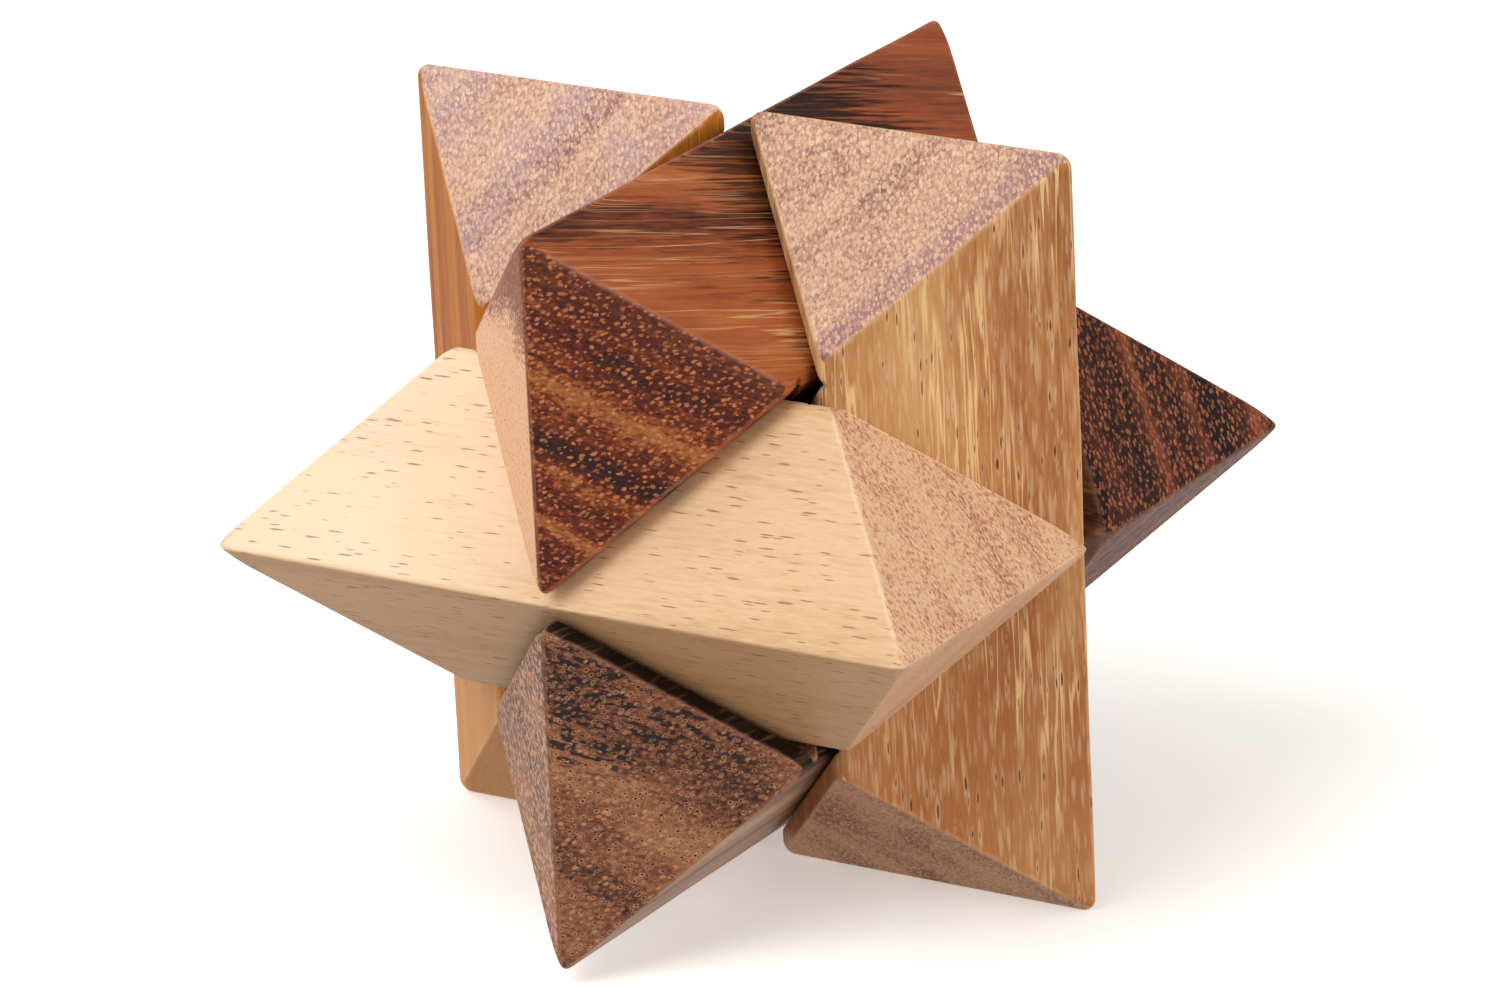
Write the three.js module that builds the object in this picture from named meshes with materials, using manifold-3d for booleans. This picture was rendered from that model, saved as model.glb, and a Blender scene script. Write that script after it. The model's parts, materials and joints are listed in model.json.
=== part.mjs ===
// A six-piece star burr puzzle: six identical square sticks, each with two V notches cut in one
// long edge, locked in three crossed pairs. Millimetres, +Z up, standing on two stick ends.
import * as THREE from 'three';
import { mergeVertices } from 'three/addons/utils/BufferGeometryUtils.js';
import Module from 'manifold-3d';

// Driving sizes. Each one can be changed by itself.
const stickSide = 27.2; // side of the square stock
const centreSlack = 1.2; // how far each stick's inner edge stays from the puzzle's centre
const endSurplus = 1.8; // how far a stick's end stands past the outer edge of the stick it crosses
const jointGap = 0.3; // clearance between a notch wall and the outer face of the stick lying in it
const outerEdgeRound = 1.4; // sanding radius of the outer long edge
const sideEdgeRound = 2.6; // sanding radius of the two side edges
const innerEdgeRound = 0.9; // sanding radius of the inner long edge, which the notches are cut in
const endRidgeRound = 1.4; // sanding radius of the ridge across each roof-shaped end
const tipRound = 1.2; // sanding radius of each point

// The square section stands on its corner, with its inner edge towards the puzzle's centre.
// The reaches are the distances of its inner, side and outer edges from that centre.
const halfDiagonal = stickSide / Math.SQRT2;
const innerReach = centreSlack;
const sideReach = innerReach + halfDiagonal;
const outerReach = innerReach + 2 * halfDiagonal;
const halfLength = outerReach + endSurplus;
const notchOffset = jointGap * Math.SQRT2;
const facetsPerRound = 3; // an odd count keeps one flat facet square on each edge
const facetsPerTip = 3;

const wasm = await Module();
wasm.setup();

// The points of a rounded corner, from the edge it arrives on to the edge it leaves on.
function roundCorner(before, corner, after, radius, facets) {
  const toBefore = before.clone().sub(corner).normalize();
  const toAfter = after.clone().sub(corner).normalize();
  const halfAngle = Math.acos(toBefore.dot(toAfter)) / 2;
  const bisector = toBefore.clone().add(toAfter).normalize();
  const centre = corner.clone().addScaledVector(bisector, radius / Math.sin(halfAngle));
  const start = corner.clone().addScaledVector(toBefore, radius / Math.tan(halfAngle));
  const end = corner.clone().addScaledVector(toAfter, radius / Math.tan(halfAngle));
  const turnsLeft = start.clone().sub(centre).cross(end.clone().sub(centre)) > 0;
  const sweep = (turnsLeft ? 1 : -1) * (Math.PI - 2 * halfAngle);
  const points = [];
  for (let step = 0; step <= facets; step += 1) {
    points.push(start.clone().rotateAround(centre, (sweep * step) / facets));
  }
  return points;
}

// A closed outline from corners given as [x, y, radius]; a radius of zero keeps the corner sharp.
function outline(corners, facets) {
  const places = corners.map(([x, y]) => new THREE.Vector2(x, y));
  const points = [];
  corners.forEach(([, , radius], index) => {
    const before = places[(index + places.length - 1) % places.length];
    const after = places[(index + 1) % places.length];
    if (radius > 0) {
      points.push(...roundCorner(before, places[index], after, radius, facets));
    } else {
      points.push(places[index]);
    }
  });
  return new THREE.Shape(points);
}

// A long bar of one outline, centred on its own plane.
function bar(shape) {
  const depth = 4 * halfLength;
  const geometry = new THREE.ExtrudeGeometry(shape, { depth, bevelEnabled: false });
  return geometry.translate(0, 0, -depth / 2);
}

function toSolid(geometry) {
  geometry.deleteAttribute('normal');
  geometry.deleteAttribute('uv');
  const merged = mergeVertices(geometry);
  return new wasm.Manifold(new wasm.Mesh({
    numProp: 3,
    vertProperties: new Float32Array(merged.attributes.position.array),
    triVerts: new Uint32Array(merged.index.array),
  }));
}

function toGeometry(solid) {
  const mesh = solid.getMesh();
  const geometry = new THREE.BufferGeometry();
  geometry.setAttribute('position', new THREE.BufferAttribute(mesh.vertProperties, 3));
  geometry.setIndex(new THREE.BufferAttribute(mesh.triVerts, 1));
  const faceted = geometry.toNonIndexed();
  faceted.computeVertexNormals();
  return faceted;
}

// In a stick's own frame x runs across it, y points out from the puzzle's centre and z runs along it.
// The section: a square on its corner, from the inner edge to the outer edge.
function sectionBar() {
  const section = outline([
    [0, innerReach, innerEdgeRound],
    [halfDiagonal, sideReach, sideEdgeRound],
    [0, outerReach, outerEdgeRound],
    [-halfDiagonal, sideReach, sideEdgeRound],
  ], facetsPerRound);
  return toSolid(bar(section));
}

// The roof-shaped ends: two faces at right angles that meet in a ridge across the stick.
function roofEndBar() {
  const plan = outline([
    [0, -halfLength, endRidgeRound],
    [halfLength, 0, 0],
    [0, halfLength, endRidgeRound],
    [-halfLength, 0, 0],
  ], facetsPerRound);
  return toSolid(bar(plan).rotateX(Math.PI / 2));
}

// The side view: two V notches in the inner edge with a tooth between them, and the eased points.
// Each notch's floor is halfway out, where the crossing stick's side edge lies.
function notchedBar() {
  const crossing = outerReach / 2;
  const notchMouth = outerReach - innerReach + notchOffset;
  const sideView = outline([
    [-halfLength, innerReach, tipRound],
    [-notchMouth, innerReach, 0],
    [-crossing, crossing + notchOffset, 0],
    [-innerReach + notchOffset, innerReach, 0],
    [innerReach - notchOffset, innerReach, 0],
    [crossing, crossing + notchOffset, 0],
    [notchMouth, innerReach, 0],
    [halfLength, innerReach, tipRound],
    [halfLength, outerReach, tipRound],
    [-halfLength, outerReach, tipRound],
  ], facetsPerTip);
  return toSolid(bar(sideView).rotateY(-Math.PI / 2));
}

function stickGeometry() {
  return toGeometry(sectionBar().intersect(roofEndBar()).intersect(notchedBar()));
}

// One stick, turned so that its outer edge faces outward and its length runs along lengthwise.
function addStick(group, geometry, name, outward, lengthwise, colour, roughness) {
  const material = new THREE.MeshStandardMaterial({ color: colour, roughness, metalness: 0 });
  const stick = new THREE.Mesh(geometry, material);
  const across = outward.clone().cross(lengthwise);
  stick.quaternion.setFromRotationMatrix(new THREE.Matrix4().makeBasis(across, outward, lengthwise));
  stick.name = name;
  group.add(stick);
}

function puzzle() {
  const x = new THREE.Vector3(1, 0, 0);
  const y = new THREE.Vector3(0, 1, 0);
  const z = new THREE.Vector3(0, 0, 1);
  const geometry = stickGeometry();
  const sticks = new THREE.Group();
  addStick(sticks, geometry, 'stick_left', x.clone().negate(), z, '#c99a62', 0.5);
  addStick(sticks, geometry, 'stick_right', x, z, '#b98552', 0.5);
  addStick(sticks, geometry, 'stick_front', y.clone().negate(), x, '#ead6b2', 0.55);
  addStick(sticks, geometry, 'stick_rear', y, x, '#5d4435', 0.45);
  addStick(sticks, geometry, 'stick_top', z, y, '#7c4228', 0.45);
  addStick(sticks, geometry, 'stick_bottom', z.clone().negate(), y, '#6e4a34', 0.45);
  // The middle facet of the lowest end ridges is the ground.
  const ridgeCut = endRidgeRound * (Math.SQRT2 - Math.cos(Math.PI / 4 / facetsPerRound));
  sticks.position.z = halfLength - ridgeCut;
  return sticks;
}

const object = new THREE.Group();
object.add(puzzle());

export default object;
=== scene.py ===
import json
import math

import bpy
import numpy as np
from mathutils import Matrix, Vector


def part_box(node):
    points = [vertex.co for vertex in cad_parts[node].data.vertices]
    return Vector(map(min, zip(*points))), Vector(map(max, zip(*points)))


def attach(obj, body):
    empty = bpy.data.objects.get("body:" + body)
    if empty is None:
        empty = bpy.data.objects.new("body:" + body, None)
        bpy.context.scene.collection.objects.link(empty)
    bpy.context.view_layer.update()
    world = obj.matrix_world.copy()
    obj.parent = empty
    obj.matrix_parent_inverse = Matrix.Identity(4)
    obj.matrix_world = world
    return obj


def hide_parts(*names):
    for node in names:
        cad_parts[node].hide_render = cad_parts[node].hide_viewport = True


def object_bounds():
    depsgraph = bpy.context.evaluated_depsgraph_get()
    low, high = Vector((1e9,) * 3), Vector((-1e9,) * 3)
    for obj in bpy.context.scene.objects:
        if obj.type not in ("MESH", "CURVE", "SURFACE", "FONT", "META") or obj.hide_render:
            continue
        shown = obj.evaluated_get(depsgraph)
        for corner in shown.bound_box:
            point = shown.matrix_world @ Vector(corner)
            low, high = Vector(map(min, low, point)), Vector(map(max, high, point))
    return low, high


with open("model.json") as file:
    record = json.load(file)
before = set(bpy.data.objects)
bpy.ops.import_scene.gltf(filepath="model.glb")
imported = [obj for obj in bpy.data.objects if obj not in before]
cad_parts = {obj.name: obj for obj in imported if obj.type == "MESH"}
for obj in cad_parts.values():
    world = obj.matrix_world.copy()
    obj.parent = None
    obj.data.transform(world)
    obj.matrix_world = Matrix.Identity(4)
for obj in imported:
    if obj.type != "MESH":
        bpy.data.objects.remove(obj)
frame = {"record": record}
cadLow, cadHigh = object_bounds()

mm = 0.001
root2 = math.sqrt(2)
puzzleCentre = (cadLow + cadHigh) / 2

# Sizes of one stick in millimetres, measured from the puzzle's centre. The CAD box gives the overall
# ones; the ease values are how much sanding takes off each kind of edge at its crest.
stickShape = {
    "outerEase": 0.32,  # outer long edge
    "sideEase": 1.8,  # radius of the side edges
    "innerEase": 0.2,  # inner long edge
    "ridgeEase": 0.3,  # ridge across each roof-shaped end
    "creaseRadius": 0.14,  # between an end face and a long face
    "tipRadius": 0.9,  # extra rounding at the points
    "tipReach": 1.6,  # how far from a point that rounding reaches
    "notchRadius": 0.25,  # lips of the notches
    "jointGap": 0.3,  # clearance in the notches
    "handWobble": 0.22,  # how unevenly the edges were sanded, as a share of the ease
}

# How the sanded and oiled surface takes the light. Roughness goes up by a share of each mask.
finish = {
    "roughness": 0.36,
    "fibreRoughness": 0.16,
    "openPoreRoughness": 0.2,
    "endGrainRoughness": 0.12,
    "wornSmoother": 0.08,  # taken off along the rubbed edges
    # the paler edge band below is rubbed wear and, in part, a painted highlight
    "wearAndHighlightDepth": 0.62,  # millimetres from an edge where the rubbing ends
    "wearAndHighlightCore": 0.15,  # and where it is at its full strength
    "wearAndHighlightUneven": 0.9,
    "bumpStrength": 0.45,
    "bumpDistance": 0.00014,  # metres
}

# Which way each stick faces: outward is the side of its outer edge, along is its length.
sticks = {
    "stick_left": {"outward": (-1, 0, 0), "along": (0, 0, 1)},
    "stick_right": {"outward": (1, 0, 0), "along": (0, 0, 1)},
    "stick_front": {"outward": (0, -1, 0), "along": (1, 0, 0)},
    "stick_rear": {"outward": (0, 1, 0), "along": (1, 0, 0)},
    "stick_top": {"outward": (0, 0, 1), "along": (0, 1, 0)},
    "stick_bottom": {"outward": (0, 0, -1), "along": (0, 1, 0)},
}


def stickAxes(name):
    outward = Vector(sticks[name]["outward"])
    along = Vector(sticks[name]["along"])
    return outward.cross(along), outward, along


def stickSizes():
    # read from the right stick, whose outward axis is X and whose length is Z
    low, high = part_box("stick_right")
    outer = (high.x - puzzleCentre.x) / mm + stickShape["outerEase"]
    halfLength = (high.z - low.z) / 2 / mm + stickShape["ridgeEase"]
    inner = (low.x - puzzleCentre.x) / mm - stickShape["innerEase"]
    return {"outer": outer, "inner": inner, "halfLength": halfLength, "halfWidth": (outer - inner) / 2}


def notchHeight(along, size):
    # height of the notch walls: distance to the nearer of the centre and the crossing stick's edge
    reach = np.abs(along)
    return np.minimum(reach, size["outer"] - reach) + stickShape["jointGap"] * root2


def softAbs(value, ease):
    # root of (value squared plus ease squared): a sharp V turned into a rounded one
    return np.sqrt(value * value + ease * ease)


def roundJoin(first, second, radius):
    # the higher of two distances, with a fillet of the radius where they meet
    near = np.maximum(first + radius, 0.0) ** 2 + np.maximum(second + radius, 0.0) ** 2
    return np.minimum(np.maximum(first, second), -radius) + np.sqrt(near)


def stickField(across, out, along, size, seed):
    # distance outside the sanded stick: two outer faces, two inner faces, the roof-shaped ends and
    # the notch walls, joined with fillets; negative inside the wood
    shape = stickShape
    wobble = 1 + shape["handWobble"] * (
        np.sin(0.13 * along + 1.7 * seed) + 0.6 * np.sin(0.31 * along + 2.9 * seed + 0.05 * out)
    ) / 1.6
    outerFace = (softAbs(across, shape["outerEase"] * wobble) + out - size["outer"]) / root2
    innerFace = (softAbs(across, shape["innerEase"] * wobble) - out + size["inner"]) / root2
    section = roundJoin(outerFace, innerFace, shape["sideEase"])
    roof = (softAbs(across, shape["ridgeEase"]) + np.abs(along) - size["halfLength"]) / root2
    crease = shape["creaseRadius"] * wobble + shape["tipRadius"] * np.exp(-(across / shape["tipReach"]) ** 2)
    body = roundJoin(section, roof, crease)
    notch = (notchHeight(along, size) - out) / root2
    return roundJoin(body, notch, shape["notchRadius"])


def eased(count):
    # steps from 0 to 1 that crowd towards both ends: half of one minus the cosine
    return (1 - np.cos(np.pi * np.arange(count) / count)) / 2


def stations(size):
    # places along the half stick: crowded at each change of shape, and close together at the ridge
    gap = stickShape["jointGap"] * root2
    marks = [0.0, size["inner"] - gap, size["outer"] / 2, size["halfLength"] - size["halfWidth"],
             size["outer"] - size["inner"] + gap]
    counts = [3, 20, 8, 18]  # stations in each of the four stretches
    half = np.concatenate([a + (b - a) * eased(n) for a, b, n in zip(marks, marks[1:], counts)])
    tailWidths = np.array([2.4, 1.9, 1.45, 1.05, 0.7, 0.42, 0.2, 0.06, 0.012])  # down to a closed ridge
    tail = size["halfLength"] - softAbs(tailWidths, stickShape["ridgeEase"])
    half = np.concatenate([half[half < tail[0] - 0.2], tail])
    return np.concatenate([-half[:0:-1], half])


def sectionCorners(along, size):
    # corners of the sharp-edged section at each station, from the outer edge down one side:
    # outer edge, top and foot of the end face, lip of the notch, middle of the notch floor
    width = np.sqrt(np.maximum((size["halfLength"] - np.abs(along)) ** 2 - stickShape["ridgeEase"] ** 2, 0))
    width = np.minimum(width, size["halfWidth"])
    floor = np.maximum(notchHeight(along, size), size["inner"])
    lip = np.minimum(floor - size["inner"], width)
    zero = np.zeros_like(along)
    across = np.stack([zero, width, width, lip, zero], axis=1)
    out = np.stack([zero + size["outer"], size["outer"] - width, size["inner"] + width, floor, floor], axis=1)
    return across, out


def stickSurface(size, seed):
    # each point lies on the ray from the stick's core to a point of the sharp section, where the
    # sanded stick's field is zero; found by halving the ray again and again
    along = stations(size)
    across, out = sectionCorners(along, size)
    counts = [20, 16, 20, 10]  # steps on the outer face, end face, inner face and notch floor
    halvings = 34
    steps = [(k, q) for k, n in enumerate(counts) for q in eased(n)]
    side = np.array([k for k, q in steps] + [3])
    share = np.array([q for k, q in steps] + [1.0])
    targetAcross = across[:, side] * (1 - share) + across[:, side + 1] * share
    targetOut = out[:, side] * (1 - share) + out[:, side + 1] * share
    core = 0.75 * size["outer"]  # a height that is inside the wood at every station
    targetAcross = np.concatenate([targetAcross, -targetAcross[:, -2:0:-1]], axis=1)
    targetOut = np.concatenate([targetOut, targetOut[:, -2:0:-1]], axis=1)
    place = np.broadcast_to(along[:, None], targetAcross.shape)
    nearShare = np.zeros_like(targetAcross)
    farShare = np.full_like(targetAcross, 1.3)  # past every rounded corner
    for halving in range(halvings):
        middle = (nearShare + farShare) / 2
        inside = stickField(targetAcross * middle, core + (targetOut - core) * middle, place, size, seed) < 0
        nearShare = np.where(inside, middle, nearShare)
        farShare = np.where(inside, farShare, middle)
    return np.stack([targetAcross * nearShare, core + (targetOut - core) * nearShare, place], axis=-1)


def fieldNormals(points, size, seed):
    # direction in which the field grows fastest, from small steps each way
    step = 0.01
    across, out, along = points[..., 0], points[..., 1], points[..., 2]
    grow = [
        stickField(across + step * i, out + step * j, along + step * k, size, seed)
        - stickField(across - step * i, out - step * j, along - step * k, size, seed)
        for i, j, k in ((1, 0, 0), (0, 1, 0), (0, 0, 1))
    ]
    normal = np.stack(grow, axis=-1)
    return normal / np.linalg.norm(normal, axis=-1, keepdims=True)


def gridFaces(rows, columns):
    # quads between neighbouring stations, all the way round
    row, column = np.meshgrid(np.arange(rows - 1), np.arange(columns), indexing="ij")
    after = (column + 1) % columns
    return np.stack([row * columns + column, row * columns + after,
                     (row + 1) * columns + after, (row + 1) * columns + column], axis=-1).reshape(-1, 4)


def endFaces(row, columns, flip):
    # closes a ridge: each point of one side joins its mirror image on the other side
    half = columns // 2
    near = np.arange(1, half - 1)
    quads = np.stack([near, near + 1, columns - near - 1, columns - near], axis=-1) + row * columns
    tips = np.array([[0, 1, columns - 1], [half - 1, half, half + 1]]) + row * columns
    if flip:
        quads, tips = quads[:, ::-1], tips[:, ::-1]
    return quads.tolist() + tips.tolist()


def buildStick(name, seed):
    size = stickSizes()
    points = stickSurface(size, seed)
    normals = fieldNormals(points, size, seed).reshape(-1, 3)
    rows, columns = points.shape[:2]
    axes = np.array([list(axis) for axis in stickAxes(name)])
    world = points.reshape(-1, 3) @ axes * mm + np.array(puzzleCentre)
    faces = gridFaces(rows, columns)[:, ::-1].tolist()
    faces += endFaces(0, columns, True) + endFaces(rows - 1, columns, False)
    mesh = bpy.data.meshes.new(name + "_wood")
    mesh.from_pydata(world.tolist(), [], faces)
    mesh.polygons.foreach_set("use_smooth", np.ones(len(mesh.polygons), bool))
    mesh.normals_split_custom_set_from_vertices((normals @ axes).tolist())
    stick = bpy.data.objects.new(name + "_wood", mesh)
    bpy.context.scene.collection.objects.link(stick)
    return stick


def srgb(red, green, blue):
    # a colour given in screen values, 0 to 255, as the shader wants it
    parts = [value / 255 for value in (red, green, blue)]
    linear = [p / 12.92 if p <= 0.04045 else ((p + 0.055) / 1.055) ** 2.4 for p in parts]
    return (*linear, 1.0)


class Wire:
    # one output of a node; arithmetic on it adds Math nodes
    def __init__(self, maker, socket):
        self.maker = maker
        self.socket = socket

    def math(self, operation, *others):
        return self.maker.node("ShaderNodeMath", {"operation": operation}, dict(enumerate((self, *others))))

    def also(self, output):
        return Wire(self.maker, self.socket.node.outputs[output])

    def __add__(self, other):
        return self.math("ADD", other)

    __radd__ = __add__

    def __mul__(self, other):
        return self.math("MULTIPLY", other)

    __rmul__ = __mul__

    def __sub__(self, other):
        return self.math("SUBTRACT", other)

    def __rsub__(self, other):
        return self * -1 + other

    def __truediv__(self, other):
        return self.math("DIVIDE", other)


class Maker:
    # makes the nodes of one material
    def __init__(self, name):
        self.material = bpy.data.materials.new(name)
        self.material.use_nodes = True
        self.tree = self.material.node_tree
        self.shader = self.tree.nodes["Principled BSDF"]

    def connect(self, socket, value):
        if isinstance(value, Wire):
            self.tree.links.new(value.socket, socket)
        else:
            socket.default_value = value

    def node(self, kind, settings, inputs, output=0):
        made = self.tree.nodes.new(kind)
        for key, value in settings.items():
            if key == "stops":
                setStops(made.color_ramp, value)
            else:
                setattr(made, key, value)
        for key, value in inputs.items():
            self.connect(made.inputs[key], value)
        return Wire(self, made.outputs[output])

    def mix(self, factor, first, second):
        return self.node("ShaderNodeMix", {"data_type": "RGBA"}, {0: factor, 6: first, 7: second}, 2)

    def fade(self, value, low, high):
        # 0 below low, 1 above high, smooth between; low above high turns it round
        return self.node("ShaderNodeMapRange", {"interpolation_type": "SMOOTHSTEP"},
                         {"Value": value, "From Min": low, "From Max": high})

    def noise(self, vector, detail=2.0, roughness=0.5):
        return self.node("ShaderNodeTexNoise", {}, {"Vector": vector, "Scale": 1.0, "Detail": detail,
                                                    "Roughness": roughness})

    def stretched(self, vector, through, beside, along):
        # the vector divided by three sizes: through the growth layers, beside them and along the grain
        return self.node("ShaderNodeVectorMath", {"operation": "MULTIPLY"},
                         {0: vector, 1: (1 / through, 1 / beside, 1 / along)})


def setStops(ramp, stops):
    for extra in range(len(stops) - len(ramp.elements)):
        ramp.elements.new(0.5)
    for element, (position, color) in zip(ramp.elements, stops):
        element.position = position
        element.color = srgb(*color)


def placeIn(maker, axes, shift):
    # Object coordinates turned into the given axes, in millimetres from the puzzle's centre
    turn = Matrix([list(axis) for axis in axes])
    origin = turn @ puzzleCentre / mm
    objectPlace = maker.node("ShaderNodeTexCoord", {}, {}, "Object")
    return maker.node("ShaderNodeMapping", {}, {
        "Vector": objectPlace, "Location": Vector(shift) - origin, "Rotation": turn.to_euler(),
        "Scale": (1 / mm, 1 / mm, 1 / mm)})


def grainAxes(name, recipe):
    # the grain runs along the stick but leans across and outward by the two slopes; the first axis
    # points through the growth layers, the second along them
    across, outward, along = stickAxes(name)
    grain = (along + across * recipe["lean"][0] + outward * recipe["lean"][1]).normalized()
    side = (across - grain * across.dot(grain)).normalized()
    angle = math.radians(recipe["layerAngle"])
    through = side * math.cos(angle) + grain.cross(side) * math.sin(angle)
    return through, grain.cross(through), grain


def cutDepths(maker, name, size):
    # how far each point is below the planes of the section, the ends and the notches; end grain
    # shows where an end or a notch is the nearest of them
    local = maker.node("ShaderNodeSeparateXYZ", {}, {"Vector": placeIn(maker, stickAxes(name), (0, 0, 0))})
    across, out, along = local.math("ABSOLUTE"), local.also("Y"), local.also("Z").math("ABSOLUTE")
    outerDepth = (across + out) * -1 + size["outer"]
    innerDepth = out - across - size["inner"]
    roofDepth = (across + along) * -1 + size["halfLength"]
    notchFloor = along.math("MINIMUM", along * -1 + size["outer"]) + stickShape["jointGap"] * root2
    cutDepth = roofDepth.math("MINIMUM", out - notchFloor)
    endGrain = maker.fade(outerDepth.math("MINIMUM", innerDepth) - cutDepth, -0.16, 0.16)
    edge = (outerDepth + innerDepth).math("MINIMUM", innerDepth + roofDepth)
    edge = edge.math("MINIMUM", outerDepth + roofDepth).math("MINIMUM", across * 2)
    return local, outerDepth, endGrain, edge


def growthLayer(maker, grain, recipe):
    # distance from the pith: root of (through squared plus beside squared), bent and rippled a little
    parts = maker.node("ShaderNodeSeparateXYZ", {}, {"Vector": grain})
    bend = maker.noise(maker.stretched(grain, 22, 22, 80), 2.0) * recipe["bend"]
    ripple = maker.noise(maker.stretched(grain, 3.5, 5, 18), 2.0) * recipe["ripple"]
    through, beside = parts + recipe["pith"], parts.also("Y")
    return (through * through + beside * beside).math("SQRT") + bend + ripple


def thinLines(maker, grain, endGrain, lines):
    # the parts of a stretched noise close to its middle value, in groups, on the long grain only
    vector = maker.stretched(grain, lines["through"], lines["beside"], lines["length"])
    weave = maker.noise(vector, 2.0, 0.6)
    thin = maker.fade((weave - 0.5).math("ABSOLUTE"), lines["width"], lines["width"] * 0.3)
    group = maker.fade(maker.noise(maker.stretched(grain, 5, 5, 24), 2.0), 0.42, 0.6)
    return thin * group * (1 - endGrain) * lines["amount"]


def poreMasks(maker, grain, endGrain, recipe):
    # pores run with the grain: spots where it is cut across, dashes and streaks where it is cut
    # along; each has a dark opening and a pale sheath round it
    wander = maker.noise(maker.stretched(grain, 0.4, 0.4, 4), 1.0).also("Color")
    stray = (recipe["spotStray"], recipe["spotStray"], 0)
    strayed = maker.node("ShaderNodeVectorMath", {"operation": "MULTIPLY_ADD"},
                         {0: wander, 1: stray, 2: grain})
    spacing, sheathRadius, openRadius, share = recipe["pores"]
    sheath, opening = 0, 0
    for shape, side, stretch, cut in (("2D", recipe["spotWidth"], 1.0, endGrain),
                                      ("3D", 1.0, recipe["poreLength"], 1 - endGrain)):
        vector = maker.stretched(strayed, spacing * side, spacing / side, spacing * stretch)
        cell = maker.node("ShaderNodeTexVoronoi", {"voronoi_dimensions": shape},
                          {"Vector": vector, "Scale": 1.0})
        chance = maker.node("ShaderNodeSeparateColor", {}, {"Color": cell.also("Color")})
        reach = cell * spacing / (chance.also("Green") * 0.8 + 0.6)
        around = maker.fade(reach, sheathRadius * 1.3, sheathRadius * 0.5)
        around = around * (chance.also("Blue") * 0.65 + 0.35)
        inside = maker.fade(reach, openRadius * 1.3, openRadius * 0.6) * chance.math("LESS_THAN", share)
        sheath, opening = around * cut + sheath, inside * cut + opening
    return sheath, opening


def byCut(endGrain, amounts):
    # the first amount on long grain, the second on end grain
    onLong, onEnd = amounts
    return endGrain * (onEnd - onLong) + onLong


def wood(name, recipe):
    maker = Maker(recipe["label"])
    local, outerDepth, endGrain, edge = cutDepths(maker, name, stickSizes())
    grain = placeIn(maker, grainAxes(name, recipe), recipe["shift"])

    # tone from 0 to 1: bands of growth, broad blotches, threads along the grain and fine grit
    layer = growthLayer(maker, grain, recipe)
    band = maker.node("ShaderNodeTexNoise", {"noise_dimensions": "1D"},
                      {"W": layer / recipe["bandWidth"], "Scale": 1.0, "Detail": 4.0, "Roughness": 0.6})
    blotch = maker.noise(maker.stretched(grain, 7, 9, 26), 2.0)
    fibre = maker.noise(maker.stretched(grain, 0.32, 0.4, 11), 3.0, 0.62)
    grit = maker.noise(maker.stretched(grain, 0.33, 0.42, 3.2), 2.0, 0.7)
    tone = (band - 0.5) * byCut(endGrain, recipe["bandContrast"]) + 0.5
    tone = tone + (blotch - 0.5) * recipe["blotch"] + (fibre - 0.5) * recipe["fibre"]
    tone = tone + (grit - 0.5) * byCut(endGrain, (0.4, 1.0)) * recipe["grit"]
    longColor = maker.node("ShaderNodeValToRGB", {"stops": recipe["longStops"]}, {"Fac": tone})
    endColor = maker.node("ShaderNodeValToRGB", {"stops": recipe["endStops"]}, {"Fac": tone})
    color = maker.mix(endGrain, longColor, endColor)

    at = {"local": local, "outerDepth": outerDepth, "endGrain": endGrain, "blotch": blotch, "fibre": fibre,
          "grain": grain}
    for mask, shade in recipe["patches"](maker, at):
        color = maker.mix(mask, color, srgb(*shade))
    lines = recipe["lines"]
    color = maker.mix(thinLines(maker, grain, endGrain, lines), color, srgb(*lines["color"]))
    sheath, opening = poreMasks(maker, grain, endGrain, recipe)
    color = maker.mix(sheath * byCut(endGrain, recipe["sheathAmount"]), color, srgb(*recipe["sheathColor"]))
    color = maker.mix(opening * byCut(endGrain, recipe["openAmount"]), color, srgb(*recipe["openColor"]))

    # edges painted paler, a little unevenly: partly rubbed wear and partly a painted highlight along the
    # edges
    wearAndHighlightNoise = maker.noise(maker.stretched(grain, 0.9, 0.9, 2.2), 2.0)
    wearAndHighlight = maker.fade(edge + (wearAndHighlightNoise - 0.5) * finish["wearAndHighlightUneven"], finish["wearAndHighlightDepth"], finish["wearAndHighlightCore"])
    color = maker.mix(wearAndHighlight * recipe["wearAndHighlight"], color, srgb(*recipe["wearAndHighlightColor"]))

    rough = fibre * finish["fibreRoughness"] + finish["roughness"] + opening * finish["openPoreRoughness"]
    rough = rough + endGrain * finish["endGrainRoughness"] - wearAndHighlight * finish["wornSmoother"]
    relief = fibre * 0.35 + sheath * 0.15 - opening * byCut(endGrain, (1.0, 0.6))
    bump = maker.node("ShaderNodeBump", {}, {
        "Height": relief, "Strength": finish["bumpStrength"], "Distance": finish["bumpDistance"]})
    maker.connect(maker.shader.inputs["Base Color"], color)
    maker.connect(maker.shader.inputs["Roughness"], rough)
    maker.connect(maker.shader.inputs["Normal"], bump)
    maker.connect(maker.shader.inputs["Specular IOR Level"], recipe["gloss"])
    return maker.material


# Patches of other colours on each stick, as pairs of a mask and a colour, the later over the earlier; a few
# of them are painted light and shade, as said where they are made.

def noPatches(maker, at):
    return []


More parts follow.
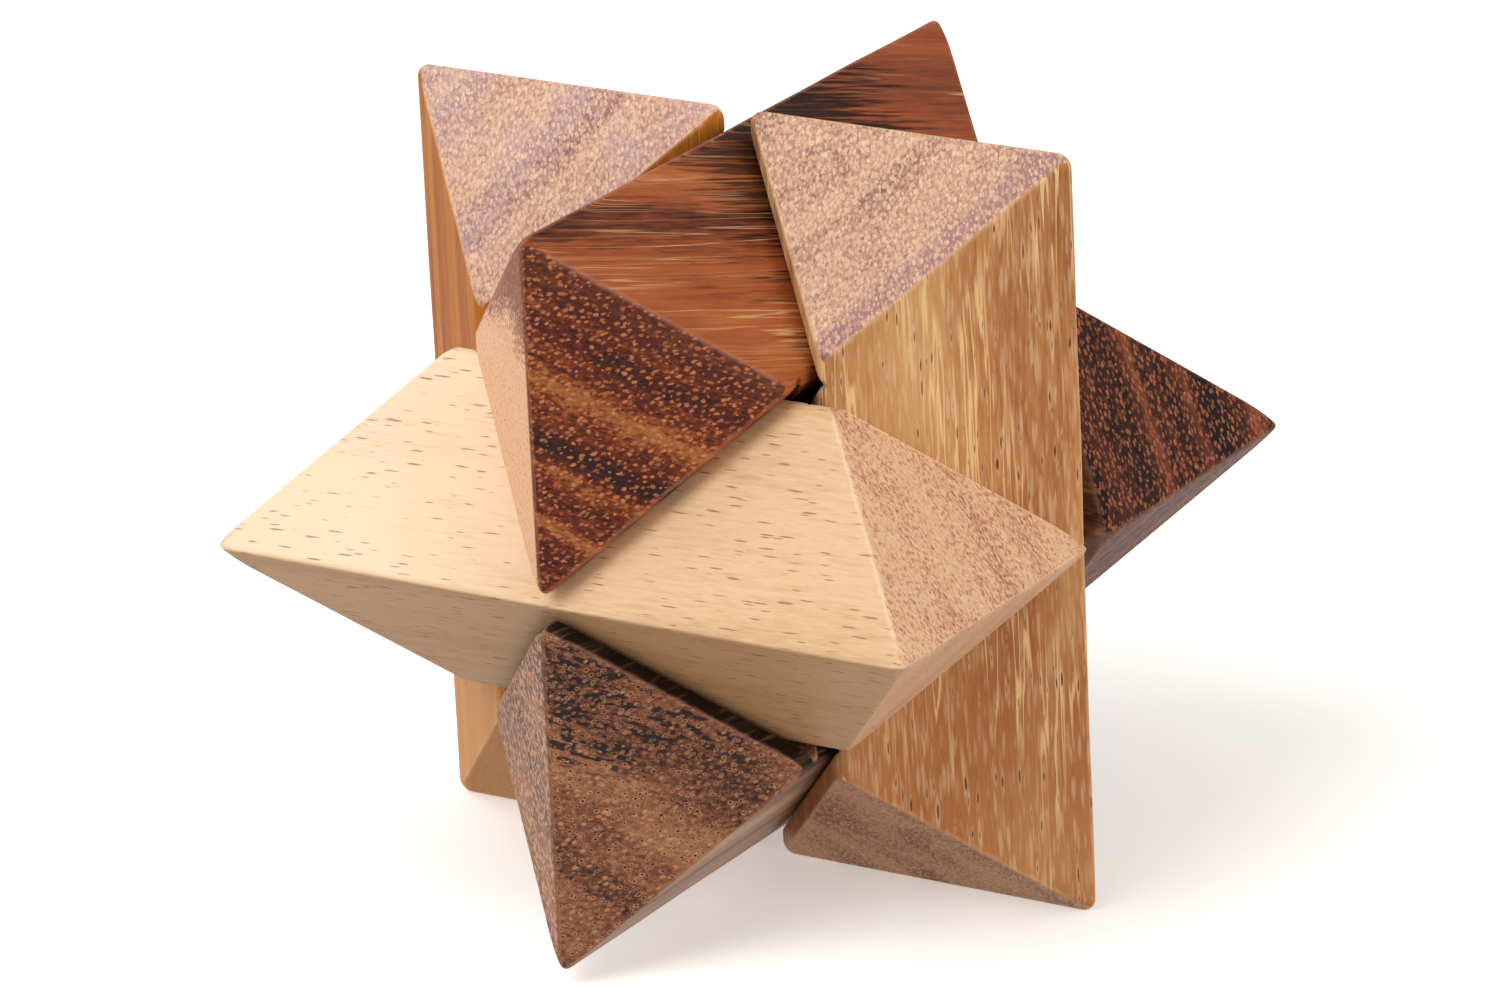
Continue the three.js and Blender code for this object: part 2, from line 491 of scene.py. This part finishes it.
def frontPatches(maker, at):
    # the upper face grows paler towards the left end, partly the wood's tone and partly painted light; the
    # underside of the ends is painted paler too, as painted light
    local, endGrain, blotch = at["local"], at["endGrain"], at["blotch"]
    # partly painted light: the paling away from the right end stands in for the shade near the top and right
    # sticks, and partly it is the wood's own tone
    pale = maker.fade(local.also("Z") + (blotch - 0.5) * 16, 12, -26) * (1 - endGrain)
    # painted light: the downward end faces are painted paler to stand in for the floor's light and sheen on
    # them
    under = maker.fade(local * -1, 0.1, 0.5) * endGrain
    return [(pale * (maker.fade(local, -0.5, 0.5) * 0.75 + 0.05), (244, 222, 190)),
            (under * 0.4, (236, 206, 178))]


def topPatches(maker, at):
    # near-black streaks from the middle to the rear, a redder rear, sapwood along the left side
    local, outerDepth, endGrain = at["local"], at["outerDepth"], at["endGrain"]
    blotch, fibre = at["blotch"], at["fibre"]
    place = local.also("Z") + (fibre - 0.5) * 60 + (blotch - 0.5) * 30
    dark = maker.fade(place, -14, 0) * maker.fade(place, 21, 13) * (1 - endGrain)
    rear = maker.fade(local.also("Z") + (fibre - 0.5) * 40, 16, 26) * (1 - endGrain)
    side = maker.fade(local, 0.05, 0.45)
    sap = side * maker.fade(local.also("Y") + (blotch - 0.5) * 12 + (fibre - 0.5) * 20, 31, 26)
    side = side * maker.fade(local.also("Z"), -14, -20) * endGrain
    crest = maker.fade(outerDepth + (blotch - 0.5) * 2, 4.6, 3.8) * endGrain
    return [(dark * 0.9, (26, 12, 10)), (rear * 0.5, (150, 76, 44)), (crest * 0.6, (64, 26, 22)),
            (side * 0.4, (172, 108, 80)), (sap * 0.92, (242, 196, 158))]


def rightPatches(maker, at):
    # a mauve layer just under the long faces, a redder foot on the long face and on the lower end
    local, outerDepth, endGrain = at["local"], at["outerDepth"], at["endGrain"]
    blotch, fibre = at["blotch"], at["fibre"]
    upper = maker.fade(local.also("Z"), 0, 6)
    mauve = maker.fade(outerDepth + (blotch - 0.5) * 9, 4.8, 2.6) * endGrain * upper
    red = maker.fade(local.also("Z") + (fibre - 0.5) * 16 + (blotch - 0.5) * 30, 2, -22) * (1 - endGrain)
    foot = maker.fade(blotch, 0.52, 0.42) * endGrain * maker.fade(local.also("Z"), 0, -6)
    return [(mauve * 0.7, (146, 104, 108)), (red * 0.55, (168, 102, 58)), (foot * 0.6, (118, 66, 50))]


def leftPatches(maker, at):
    # a cool middle on the end grain, an orange inner side and a pale foot
    local, endGrain, blotch = at["local"], at["endGrain"], at["blotch"]
    cool = maker.fade(blotch, 0.44, 0.6) * endGrain
    orange = maker.fade(local, 1.0, -3.0) * (1 - endGrain)
    foot = maker.fade(local.also("Z") + (blotch - 0.5) * 10, -8, -20)
    return [(cool * 0.45, (170, 138, 150)), (orange * 0.35, (196, 104, 40)),
            (foot * (endGrain * 0.25 + 0.6), (240, 184, 126))]


def bottomPatches(maker, at):
    # dark streaks in the upper part of the ends, a paler mottle on the left of the front end, and painted
    # shade: the inner long faces near-black
    local, endGrain = at["local"], at["endGrain"]
    blotch, grain = at["blotch"], at["grain"]
    islands = maker.fade(maker.noise(maker.stretched(grain, 0.55, 2.2, 9), 2.0, 0.6), 0.52, 0.45)
    dark = maker.fade(local.also("Y") + (blotch - 0.5) * 14, 22, 15) * islands * endGrain
    left = maker.fade(local * -1, 0.1, 0.5) * endGrain
    mottle = maker.fade(maker.noise(maker.stretched(grain, 0.5, 0.7, 6), 1.0), 0.46, 0.6)
    # painted shade: the inner long faces are painted near-black, so that the strip of them in view beside the
    # front stick reads as the shadow in the joint
    inner = maker.fade(local.also("Y"), 24, 20) * (1 - endGrain)
    return [(inner, (26, 14, 11)), (dark * 0.95, (18, 8, 8)),
            (left * (mottle * 0.6 + 0.05), (226, 180, 152))]


# One recipe for each stick, lengths in millimetres. The grain leans across and outward by two slopes
# and its noise is shifted; layerAngle turns the growth layers round it, in degrees, and pith is how far
# off the tree's centre lies. Bend and ripple are how much the layers stray. Where there are two amounts,
# the first is for long grain and the second for end grain. Stops are colours from tone 0 to tone 1.
# Pores are given by spacing, radius of the sheath, radius of the opening and share that are open.
woods = {
    "stick_front": {
        "label": "pale sapwood", "patches": frontPatches,
        "lean": (0.05, 0.0), "shift": (7, 3, 11), "layerAngle": 70, "pith": 120,
        "bend": 5, "ripple": 0.8, "bandWidth": 5.5, "bandContrast": (0.9, 0.55),
        "blotch": 0.35, "fibre": 0.35, "grit": 1.4, "gloss": 0.2,
        "longStops": [(0.15, (190, 148, 104)), (0.4, (210, 172, 130)), (0.6, (222, 187, 147)),
                      (0.9, (200, 158, 114))],
        "endStops": [(0.15, (138, 78, 54)), (0.4, (184, 128, 96)), (0.6, (216, 174, 136)),
                     (0.9, (204, 152, 118))],
        "lines": {"through": 1.1, "beside": 1.1, "length": 26, "width": 0.02, "amount": 0.25,
                  "color": (206, 164, 116)},
        "pores": (0.42, 0.17, 0.07, 1.0), "poreLength": 11, "spotWidth": 0.62, "spotStray": 0.35,
        "sheathAmount": (0.0, 0.72), "sheathColor": (234, 200, 162),
        "openAmount": (0.75, 0.15), "openColor": (156, 92, 58),
        "wearAndHighlight": 0.3, "wearAndHighlightColor": (244, 220, 184),
    },
    "stick_top": {
        "label": "red brown heartwood", "patches": topPatches,
        "lean": (-0.26, -0.26), "shift": (3, 17, 5), "layerAngle": 119, "pith": 90,
        "bend": 5, "ripple": 1.3, "bandWidth": 4.2, "bandContrast": (2.1, 1.7),
        "blotch": 0.6, "fibre": 0.7, "grit": 1.1, "gloss": 0.2,
        "longStops": [(0.12, (40, 18, 14)), (0.3, (92, 42, 24)), (0.5, (144, 72, 36)),
                      (0.72, (160, 86, 44)), (0.95, (184, 112, 62))],
        "endStops": [(0.15, (34, 13, 13)), (0.38, (78, 28, 18)), (0.58, (108, 46, 24)),
                     (0.76, (140, 82, 42)), (0.95, (156, 100, 58))],
        "lines": {"through": 0.34, "beside": 12, "length": 60, "width": 0.022, "amount": 0.62,
                  "color": (204, 158, 112)},
        "pores": (0.52, 0.13, 0.04, 0.3), "poreLength": 14, "spotWidth": 1.3, "spotStray": 0.34,
        "sheathAmount": (0.1, 0.85), "sheathColor": (206, 130, 86),
        "openAmount": (0.5, 0.35), "openColor": (44, 18, 14),
        "wearAndHighlight": 0.4, "wearAndHighlightColor": (170, 112, 92),
    },
    "stick_right": {
        "label": "amber wood", "patches": rightPatches,
        "lean": (0.03, 0.02), "shift": (13, 5, 2), "layerAngle": 45, "pith": 150,
        "bend": 7, "ripple": 1.0, "bandWidth": 5.0, "bandContrast": (1.5, 0.6),
        "blotch": 0.6, "fibre": 0.5, "grit": 1.3, "gloss": 0.2,
        "longStops": [(0.1, (146, 88, 48)), (0.35, (174, 118, 70)), (0.6, (192, 142, 92)),
                      (0.9, (208, 164, 114))],
        "endStops": [(0.15, (126, 84, 78)), (0.4, (168, 124, 108)), (0.65, (196, 154, 130)),
                     (0.95, (216, 180, 150))],
        "lines": {"through": 1.3, "beside": 1.3, "length": 70, "width": 0.035, "amount": 0.8,
                  "color": (236, 198, 142)},
        "pores": (0.44, 0.19, 0.07, 0.6), "poreLength": 9, "spotWidth": 1.35, "spotStray": 0.36,
        "sheathAmount": (0.42, 0.78), "sheathColor": (232, 200, 162),
        "openAmount": (0.9, 0.2), "openColor": (70, 42, 26),
        "wearAndHighlight": 0.3, "wearAndHighlightColor": (222, 178, 132),
    },
    "stick_left": {
        "label": "golden wood", "patches": leftPatches,
        "lean": (0.0, 0.02), "shift": (1, 9, 4), "layerAngle": 45, "pith": 150,
        "bend": 7, "ripple": 1.0, "bandWidth": 5.0, "bandContrast": (1.5, 0.9),
        "blotch": 0.4, "fibre": 0.5, "grit": 1.3, "gloss": 0.02,
        "longStops": [(0.1, (122, 66, 18)), (0.4, (166, 100, 26)), (0.6, (182, 118, 36)),
                      (0.9, (198, 142, 60))],
        "endStops": [(0.15, (140, 98, 102)), (0.4, (176, 134, 120)), (0.65, (200, 160, 134)),
                     (0.95, (216, 182, 148))],
        "lines": {"through": 1.3, "beside": 1.3, "length": 40, "width": 0.04, "amount": 0.35,
                  "color": (214, 160, 84)},
        "pores": (0.44, 0.2, 0.06, 0.5), "poreLength": 15, "spotWidth": 1.35, "spotStray": 0.36,
        "sheathAmount": (0.04, 0.68), "sheathColor": (238, 208, 178),
        "openAmount": (0.6, 0.3), "openColor": (110, 74, 66),
        "wearAndHighlight": 0.3, "wearAndHighlightColor": (228, 186, 140),
    },
    "stick_bottom": {
        "label": "brown heartwood", "patches": bottomPatches,
        "lean": (0.1, 0.05), "shift": (5, 2, 19), "layerAngle": -55, "pith": 90,
        "bend": 7, "ripple": 1.6, "bandWidth": 6.5, "bandContrast": (1.4, 1.0),
        "blotch": 0.7, "fibre": 0.5, "grit": 1.3, "gloss": 0.22,
        "longStops": [(0.1, (96, 66, 54)), (0.4, (146, 110, 90)), (0.6, (166, 132, 110)),
                      (0.9, (186, 152, 126))],
        "endStops": [(0.12, (48, 24, 21)), (0.35, (104, 62, 46)), (0.6, (136, 88, 64)),
                     (0.9, (166, 118, 84))],
        "lines": {"through": 1.3, "beside": 1.3, "length": 30, "width": 0.04, "amount": 0.12,
                  "color": (196, 160, 132)},
        "pores": (0.54, 0.17, 0.075, 0.7), "poreLength": 14, "spotWidth": 1.1, "spotStray": 0.26,
        "sheathAmount": (0.2, 0.66), "sheathColor": (208, 154, 116),
        "openAmount": (0.5, 1.0), "openColor": (34, 16, 13),
        "wearAndHighlight": 0.3, "wearAndHighlightColor": (172, 124, 96),
    },
    "stick_rear": {
        "label": "dark heartwood", "patches": noPatches,
        "lean": (0.06, 0.05), "shift": (8, 1, 3), "layerAngle": 30, "pith": 90,
        "bend": 7, "ripple": 1.6, "bandWidth": 4.4, "bandContrast": (1.5, 1.8),
        "blotch": 0.5, "fibre": 0.5, "grit": 0.7, "gloss": 0.22,
        "longStops": [(0.1, (50, 28, 20)), (0.4, (96, 58, 38)), (0.6, (122, 76, 50)),
                      (0.9, (150, 104, 72))],
        "endStops": [(0.15, (12, 5, 5)), (0.4, (38, 14, 12)), (0.65, (82, 38, 26)),
                     (0.95, (128, 70, 46))],
        "lines": {"through": 1.3, "beside": 1.3, "length": 30, "width": 0.03, "amount": 0.4,
                  "color": (160, 112, 78)},
        "pores": (0.6, 0.19, 0.04, 0.3), "poreLength": 12, "spotWidth": 0.6, "spotStray": 0.35,
        "sheathAmount": (0.15, 0.95), "sheathColor": (176, 104, 70),
        "openAmount": (0.5, 0.4), "openColor": (20, 10, 9),
        "wearAndHighlight": 0.35, "wearAndHighlightColor": (136, 92, 74),
    },
}


bodyOf = {node: body for body, nodes in frame["record"]["behaviour"]["bodies"].items() for node in nodes}
for number, name in enumerate(sticks):
    stick = buildStick(name, number + 1)
    stick.data.materials.append(wood(name, woods[name]))
    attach(stick, bodyOf[name])
    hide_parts(name)
    print(name, "built in", woods[name]["label"])

# The camera looks at the middle of the puzzle, from front right and a little above.
cameraSetup = {
    "azimuth": 32.32,  # degrees round from the front
    "elevation": 19.97,  # degrees above the level
    "distance": 0.8577,  # metres
    "roll": -2.67,  # degrees
    "lens": 198.9,  # millimetres
    "aimRight": -0.00052,  # metres off the middle
    "aimUp": -0.00159,
}


def addCamera(setup):
    azimuth, elevation, roll = (math.radians(setup[key]) for key in ("azimuth", "elevation", "roll"))
    back = Vector((math.sin(azimuth) * math.cos(elevation), -math.cos(azimuth) * math.cos(elevation),
                   math.sin(elevation)))
    right = Vector((math.cos(azimuth), math.sin(azimuth), 0))
    up = back.cross(right)
    aim = puzzleCentre + right * setup["aimRight"] + up * setup["aimUp"]
    data = bpy.data.cameras.new("camera")
    data.lens = setup["lens"]
    data.sensor_width = 36
    data.clip_end = 10
    camera = bpy.data.objects.new("camera", data)
    camera.location = puzzleCentre + back * setup["distance"]
    turn = (camera.location - aim).to_track_quat("Z", "Y")
    camera.rotation_euler = (turn.to_matrix() @ Matrix.Rotation(roll, 3, "Z")).to_euler()
    bpy.context.scene.collection.objects.link(camera)
    bpy.context.scene.camera = camera


addCamera(cameraSetup)
print("camera placed")

# The studio: a pale floor, a soft white surround and large soft lamps. Each lamp stands in a
# direction from the puzzle, at a distance in metres, with a width in metres and a power in watts.
studio = {
    "floorColor": (244, 243, 241),
    "floorRoughness": 0.85,
    "floorGlow": 0.4,  # the floor is lit from inside, like a light table
    "above": 0.62,  # brightness of the surround overhead
    "below": 0.38,  # brightness of the surround under the floor's level
    "belowColor": (255, 226, 196),  # warm there, as if bounced off wood
    "lamps": {
        "front lamp": {"toward": (-0.3, -0.75, 1.0), "distance": 0.8, "width": 0.6, "power": 4.3},
        "right lamp": {"toward": (1.0, -0.15, 0.12), "distance": 1.3, "width": 0.9, "power": 12.0},
        "left lamp": {"toward": (-0.9, -0.7, 0.25), "distance": 1.4, "width": 0.7, "power": 2.5},
    },
}


def addFloor(setup):
    maker = Maker("studio floor")
    place = maker.node("ShaderNodeTexCoord", {}, {}, "Object")
    mottle = maker.node("ShaderNodeTexNoise", {}, {"Vector": place, "Scale": 60.0, "Detail": 4.0})
    maker.connect(maker.shader.inputs["Base Color"], srgb(*setup["floorColor"]))
    maker.connect(maker.shader.inputs["Roughness"], mottle * 0.1 + (setup["floorRoughness"] - 0.05))
    maker.connect(maker.shader.inputs["Emission Color"], srgb(*setup["floorColor"]))
    maker.connect(maker.shader.inputs["Emission Strength"], setup["floorGlow"])
    mesh = bpy.data.meshes.new("floor")
    mesh.from_pydata([(-4, -4, 0), (4, -4, 0), (4, 4, 0), (-4, 4, 0)], [], [(0, 1, 2, 3)])
    mesh.materials.append(maker.material)
    floor = bpy.data.objects.new("floor", mesh)
    floor.visible_diffuse = False  # the surround lights the undersides, not the floor
    bpy.context.scene.collection.objects.link(floor)


def addSurround(setup):
    # white overhead, fading to a dimmer and warmer light at and below the floor's level
    world = bpy.data.worlds.new("studio")
    world.use_nodes = True
    nodes, links = world.node_tree.nodes, world.node_tree.links
    direction = nodes.new("ShaderNodeTexCoord")
    parts = nodes.new("ShaderNodeSeparateXYZ")
    height = nodes.new("ShaderNodeMapRange")
    height.inputs["From Min"].default_value = -0.1
    height.inputs["From Max"].default_value = 0.9
    shade = nodes.new("ShaderNodeMix")
    shade.data_type = "RGBA"
    below, above = srgb(*setup["belowColor"]), (1, 1, 1, 1)
    shade.inputs[6].default_value = [part * setup["below"] for part in below[:3]] + [1]
    shade.inputs[7].default_value = [part * setup["above"] for part in above[:3]] + [1]
    links.new(direction.outputs["Generated"], parts.inputs[0])
    links.new(parts.outputs["Z"], height.inputs["Value"])
    links.new(height.outputs[0], shade.inputs[0])
    links.new(shade.outputs[2], nodes["Background"].inputs["Color"])
    nodes["Background"].inputs["Strength"].default_value = 1
    bpy.context.scene.world = world


def addLamp(name, setup):
    data = bpy.data.lights.new(name, "AREA")
    data.energy = setup["power"]
    data.size = setup["width"]
    lamp = bpy.data.objects.new(name, data)
    toward = Vector(setup["toward"]).normalized()
    lamp.location = puzzleCentre + toward * setup["distance"]
    lamp.rotation_euler = toward.to_track_quat("Z", "Y").to_euler()
    bpy.context.scene.collection.objects.link(lamp)


addFloor(studio)
addSurround(studio)
for name, setup in studio["lamps"].items():
    addLamp(name, setup)
bpy.context.scene.view_settings.view_transform = "Standard"
print("studio lit")
